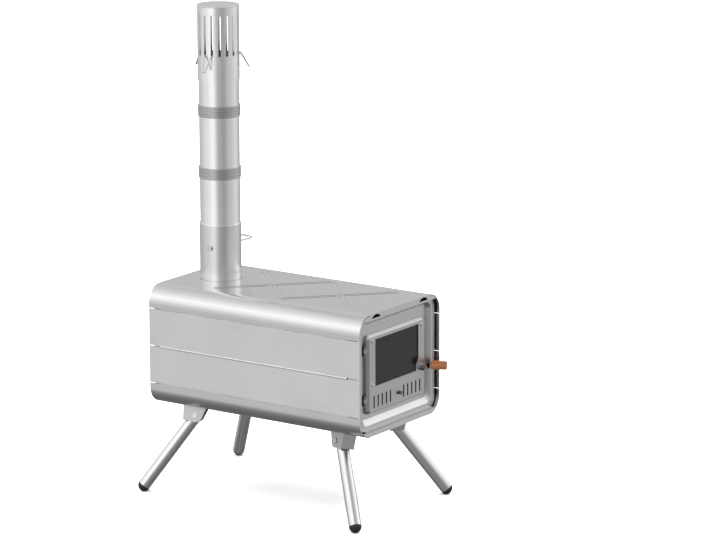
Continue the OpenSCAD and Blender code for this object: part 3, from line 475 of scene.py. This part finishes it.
# %% Surroundings
BRIGHTEST = 2.15
BY_HEIGHT = [(-90, 0.18), (-52, 0.15), (-38, 0.22), (-25, 0.48), (-13, 0.44), (0, 0.60),
             (14, 0.82), (28, 1.00), (50, 0.80), (90, 0.74)]
BY_BEARING = [(0, 0.45), (35, 0.40), (85, 0.56), (140, 0.78), (180, 1.00), (212, 0.42),
              (240, 0.33), (275, 0.53), (322, 0.72), (360, 0.45)]

world = bpy.data.worlds.new("studio_surroundings")
world.use_nodes = True
tree = world.node_tree
direction = tree.nodes.new("ShaderNodeTexCoord").outputs["Generated"]
axes = tree.nodes.new("ShaderNodeSeparateXYZ")
tree.links.new(direction, axes.inputs["Vector"])
height = spread(tree, axes.outputs["Z"], 0, 1, -1, 1)
bearing = tree.nodes.new("ShaderNodeMath")
bearing.operation = "ARCTAN2"
tree.links.new(axes.outputs["Y"], bearing.inputs[0])
tree.links.new(axes.outputs["X"], bearing.inputs[1])
full_turn = tree.nodes.new("ShaderNodeMath")
full_turn.operation = "FLOORED_MODULO"
full_turn.inputs[1].default_value = 2 * math.pi
tree.links.new(bearing.outputs["Value"], full_turn.inputs[0])
round_once = spread(tree, full_turn.outputs["Value"], 0, 1, 0, 2 * math.pi)
light = tree.nodes.new("ShaderNodeMix")
light.data_type = "RGBA"
light.blend_type = "MULTIPLY"
light.inputs["Factor"].default_value = 1.0
tree.links.new(ramp(tree, height, height_stops(BY_HEIGHT)), light.inputs["A"])
tree.links.new(ramp(tree, round_once, compass_stops(BY_BEARING)), light.inputs["B"])
print("surroundings:", len(BY_HEIGHT), "heights and", len(BY_BEARING), "bearings")

# %% [markdown]
# ## A glow for the sill
#
# The sheet below the door mirrors a place that the two curves leave too dull. A soft round glow, to
# the right of the stove and a little to the front, is added there. It comes from the dot product of
# two directions, which is 1 at the middle of the glow and falls off towards its edge.

# %% Glow for the sill
GLOW_BEARING = 332
GLOW_HEIGHT = 28
GLOW_REACH = 32
GLOW_LEVEL = 0.22


def aim_at(bearing, height):
    """The unit direction at a bearing from +X and an elevation, both in degrees."""
    around, over = math.radians(bearing), math.radians(height)
    return (math.cos(over) * math.cos(around), math.cos(over) * math.sin(around), math.sin(over))


towards = tree.nodes.new("ShaderNodeVectorMath")
towards.operation = "DOT_PRODUCT"
towards.inputs[1].default_value = aim_at(GLOW_BEARING, GLOW_HEIGHT)
tree.links.new(direction, towards.inputs[0])
edge_of_glow = math.cos(math.radians(GLOW_REACH))
glow = spread(tree, towards.outputs["Value"], 0, GLOW_LEVEL, edge_of_glow, 1)
both = tree.nodes.new("ShaderNodeMix")
both.data_type = "RGBA"
both.blend_type = "ADD"
both.inputs["Factor"].default_value = 1.0
tree.links.new(light.outputs["Result"], both.inputs["A"])
tree.links.new(glow, both.inputs["B"])
background = tree.nodes["Background"]
tree.links.new(both.outputs["Result"], background.inputs["Color"])
background.inputs["Strength"].default_value = BRIGHTEST
print("glow towards", [round(v, 2) for v in towards.inputs[1].default_value])

# %% [markdown]
# ## The backdrop
#
# To a low camera, the surroundings would show as a grey sky over the edge of the floor, where a
# studio has white paper. So the camera's own rays meet plain white, and all others meet the
# surroundings.

# %% White backdrop
backdrop = tree.nodes.new("ShaderNodeBackground")
straight_on = tree.nodes.new("ShaderNodeLightPath")
chosen = tree.nodes.new("ShaderNodeMixShader")
tree.links.new(straight_on.outputs["Is Camera Ray"], chosen.inputs["Fac"])
tree.links.new(background.outputs["Background"], chosen.inputs[1])
tree.links.new(backdrop.outputs["Background"], chosen.inputs[2])
backdrop.inputs["Color"].default_value = (1, 1, 1, 1)
tree.links.new(chosen.outputs["Shader"], tree.nodes["World Output"].inputs["Surface"])
bpy.context.scene.world = world
print("world:", world.name)

# %% [markdown]
# ## The floor
#
# The pale paper floor catches soft shadows. Mirror rays pass through it and meet the same
# surroundings, because a white floor right under the stove would flood every upright sheet with
# white. It is staged, so it isn't part of the stove.

# %% Floor
FLOOR_HALF = 20
PAPER_SCALE = (40, 40, 40)
DARK_PAPER = (0.86, 0.86, 0.86)
LIGHT_PAPER = (0.9, 0.9, 0.9)

floor_mesh = bmesh.new()
bmesh.ops.create_grid(floor_mesh, x_segments=2, y_segments=2, size=FLOOR_HALF)
floor_data = bpy.data.meshes.new("studio_floor")
floor_mesh.to_mesh(floor_data)
floor_mesh.free()
floor = bpy.data.objects.new("studio_floor", floor_data)
bpy.context.scene.collection.objects.link(floor)

paper, tree, shader, coords = new_material("studio_paper")
fibres = noise(tree, coords, PAPER_SCALE, detail=3.0)
tree.links.new(blend_colours(tree, fibres, DARK_PAPER, LIGHT_PAPER), shader.inputs["Base Color"])
shader.inputs["Roughness"].default_value = 0.9
shader.inputs["Specular IOR Level"].default_value = 0.1
seen_by = tree.nodes.new("ShaderNodeLightPath")
clear = tree.nodes.new("ShaderNodeBsdfTransparent")
either = tree.nodes.new("ShaderNodeMixShader")
tree.links.new(seen_by.outputs["Is Glossy Ray"], either.inputs["Fac"])
tree.links.new(shader.outputs["BSDF"], either.inputs[1])
tree.links.new(clear.outputs["BSDF"], either.inputs[2])
tree.links.new(either.outputs["Shader"], tree.nodes["Material Output"].inputs["Surface"])
floor.data.materials.append(paper)
print("floor:", 2 * FLOOR_HALF, "m wide")

# %% [markdown]
# ## The light
#
# One large panel overhead lights the wood, the rubber and the floor. The steel mirrors only the
# surroundings, so the panel is hidden from mirror rays. The plain Standard view keeps the tones as
# they are set.

# %% Light
PANEL_PLACE = Vector((0.2, 0.3, 3.2))
PANEL_AIM = Vector((0.2, 0.3, 0))
PANEL_SIDE = 7
PANEL_WATTS = 500

panel = bpy.data.lights.new("ceiling_panel", "AREA")
panel.shape = "RECTANGLE"
panel.size = PANEL_SIDE
panel.size_y = PANEL_SIDE
panel.energy = PANEL_WATTS
ceiling = bpy.data.objects.new("ceiling_panel", panel)
ceiling.location = PANEL_PLACE
ceiling.rotation_euler = (PANEL_AIM - PANEL_PLACE).to_track_quat("-Z", "Y").to_euler()
bpy.context.scene.collection.objects.link(ceiling)
ceiling.visible_glossy = False
bpy.context.scene.view_settings.view_transform = "Standard"
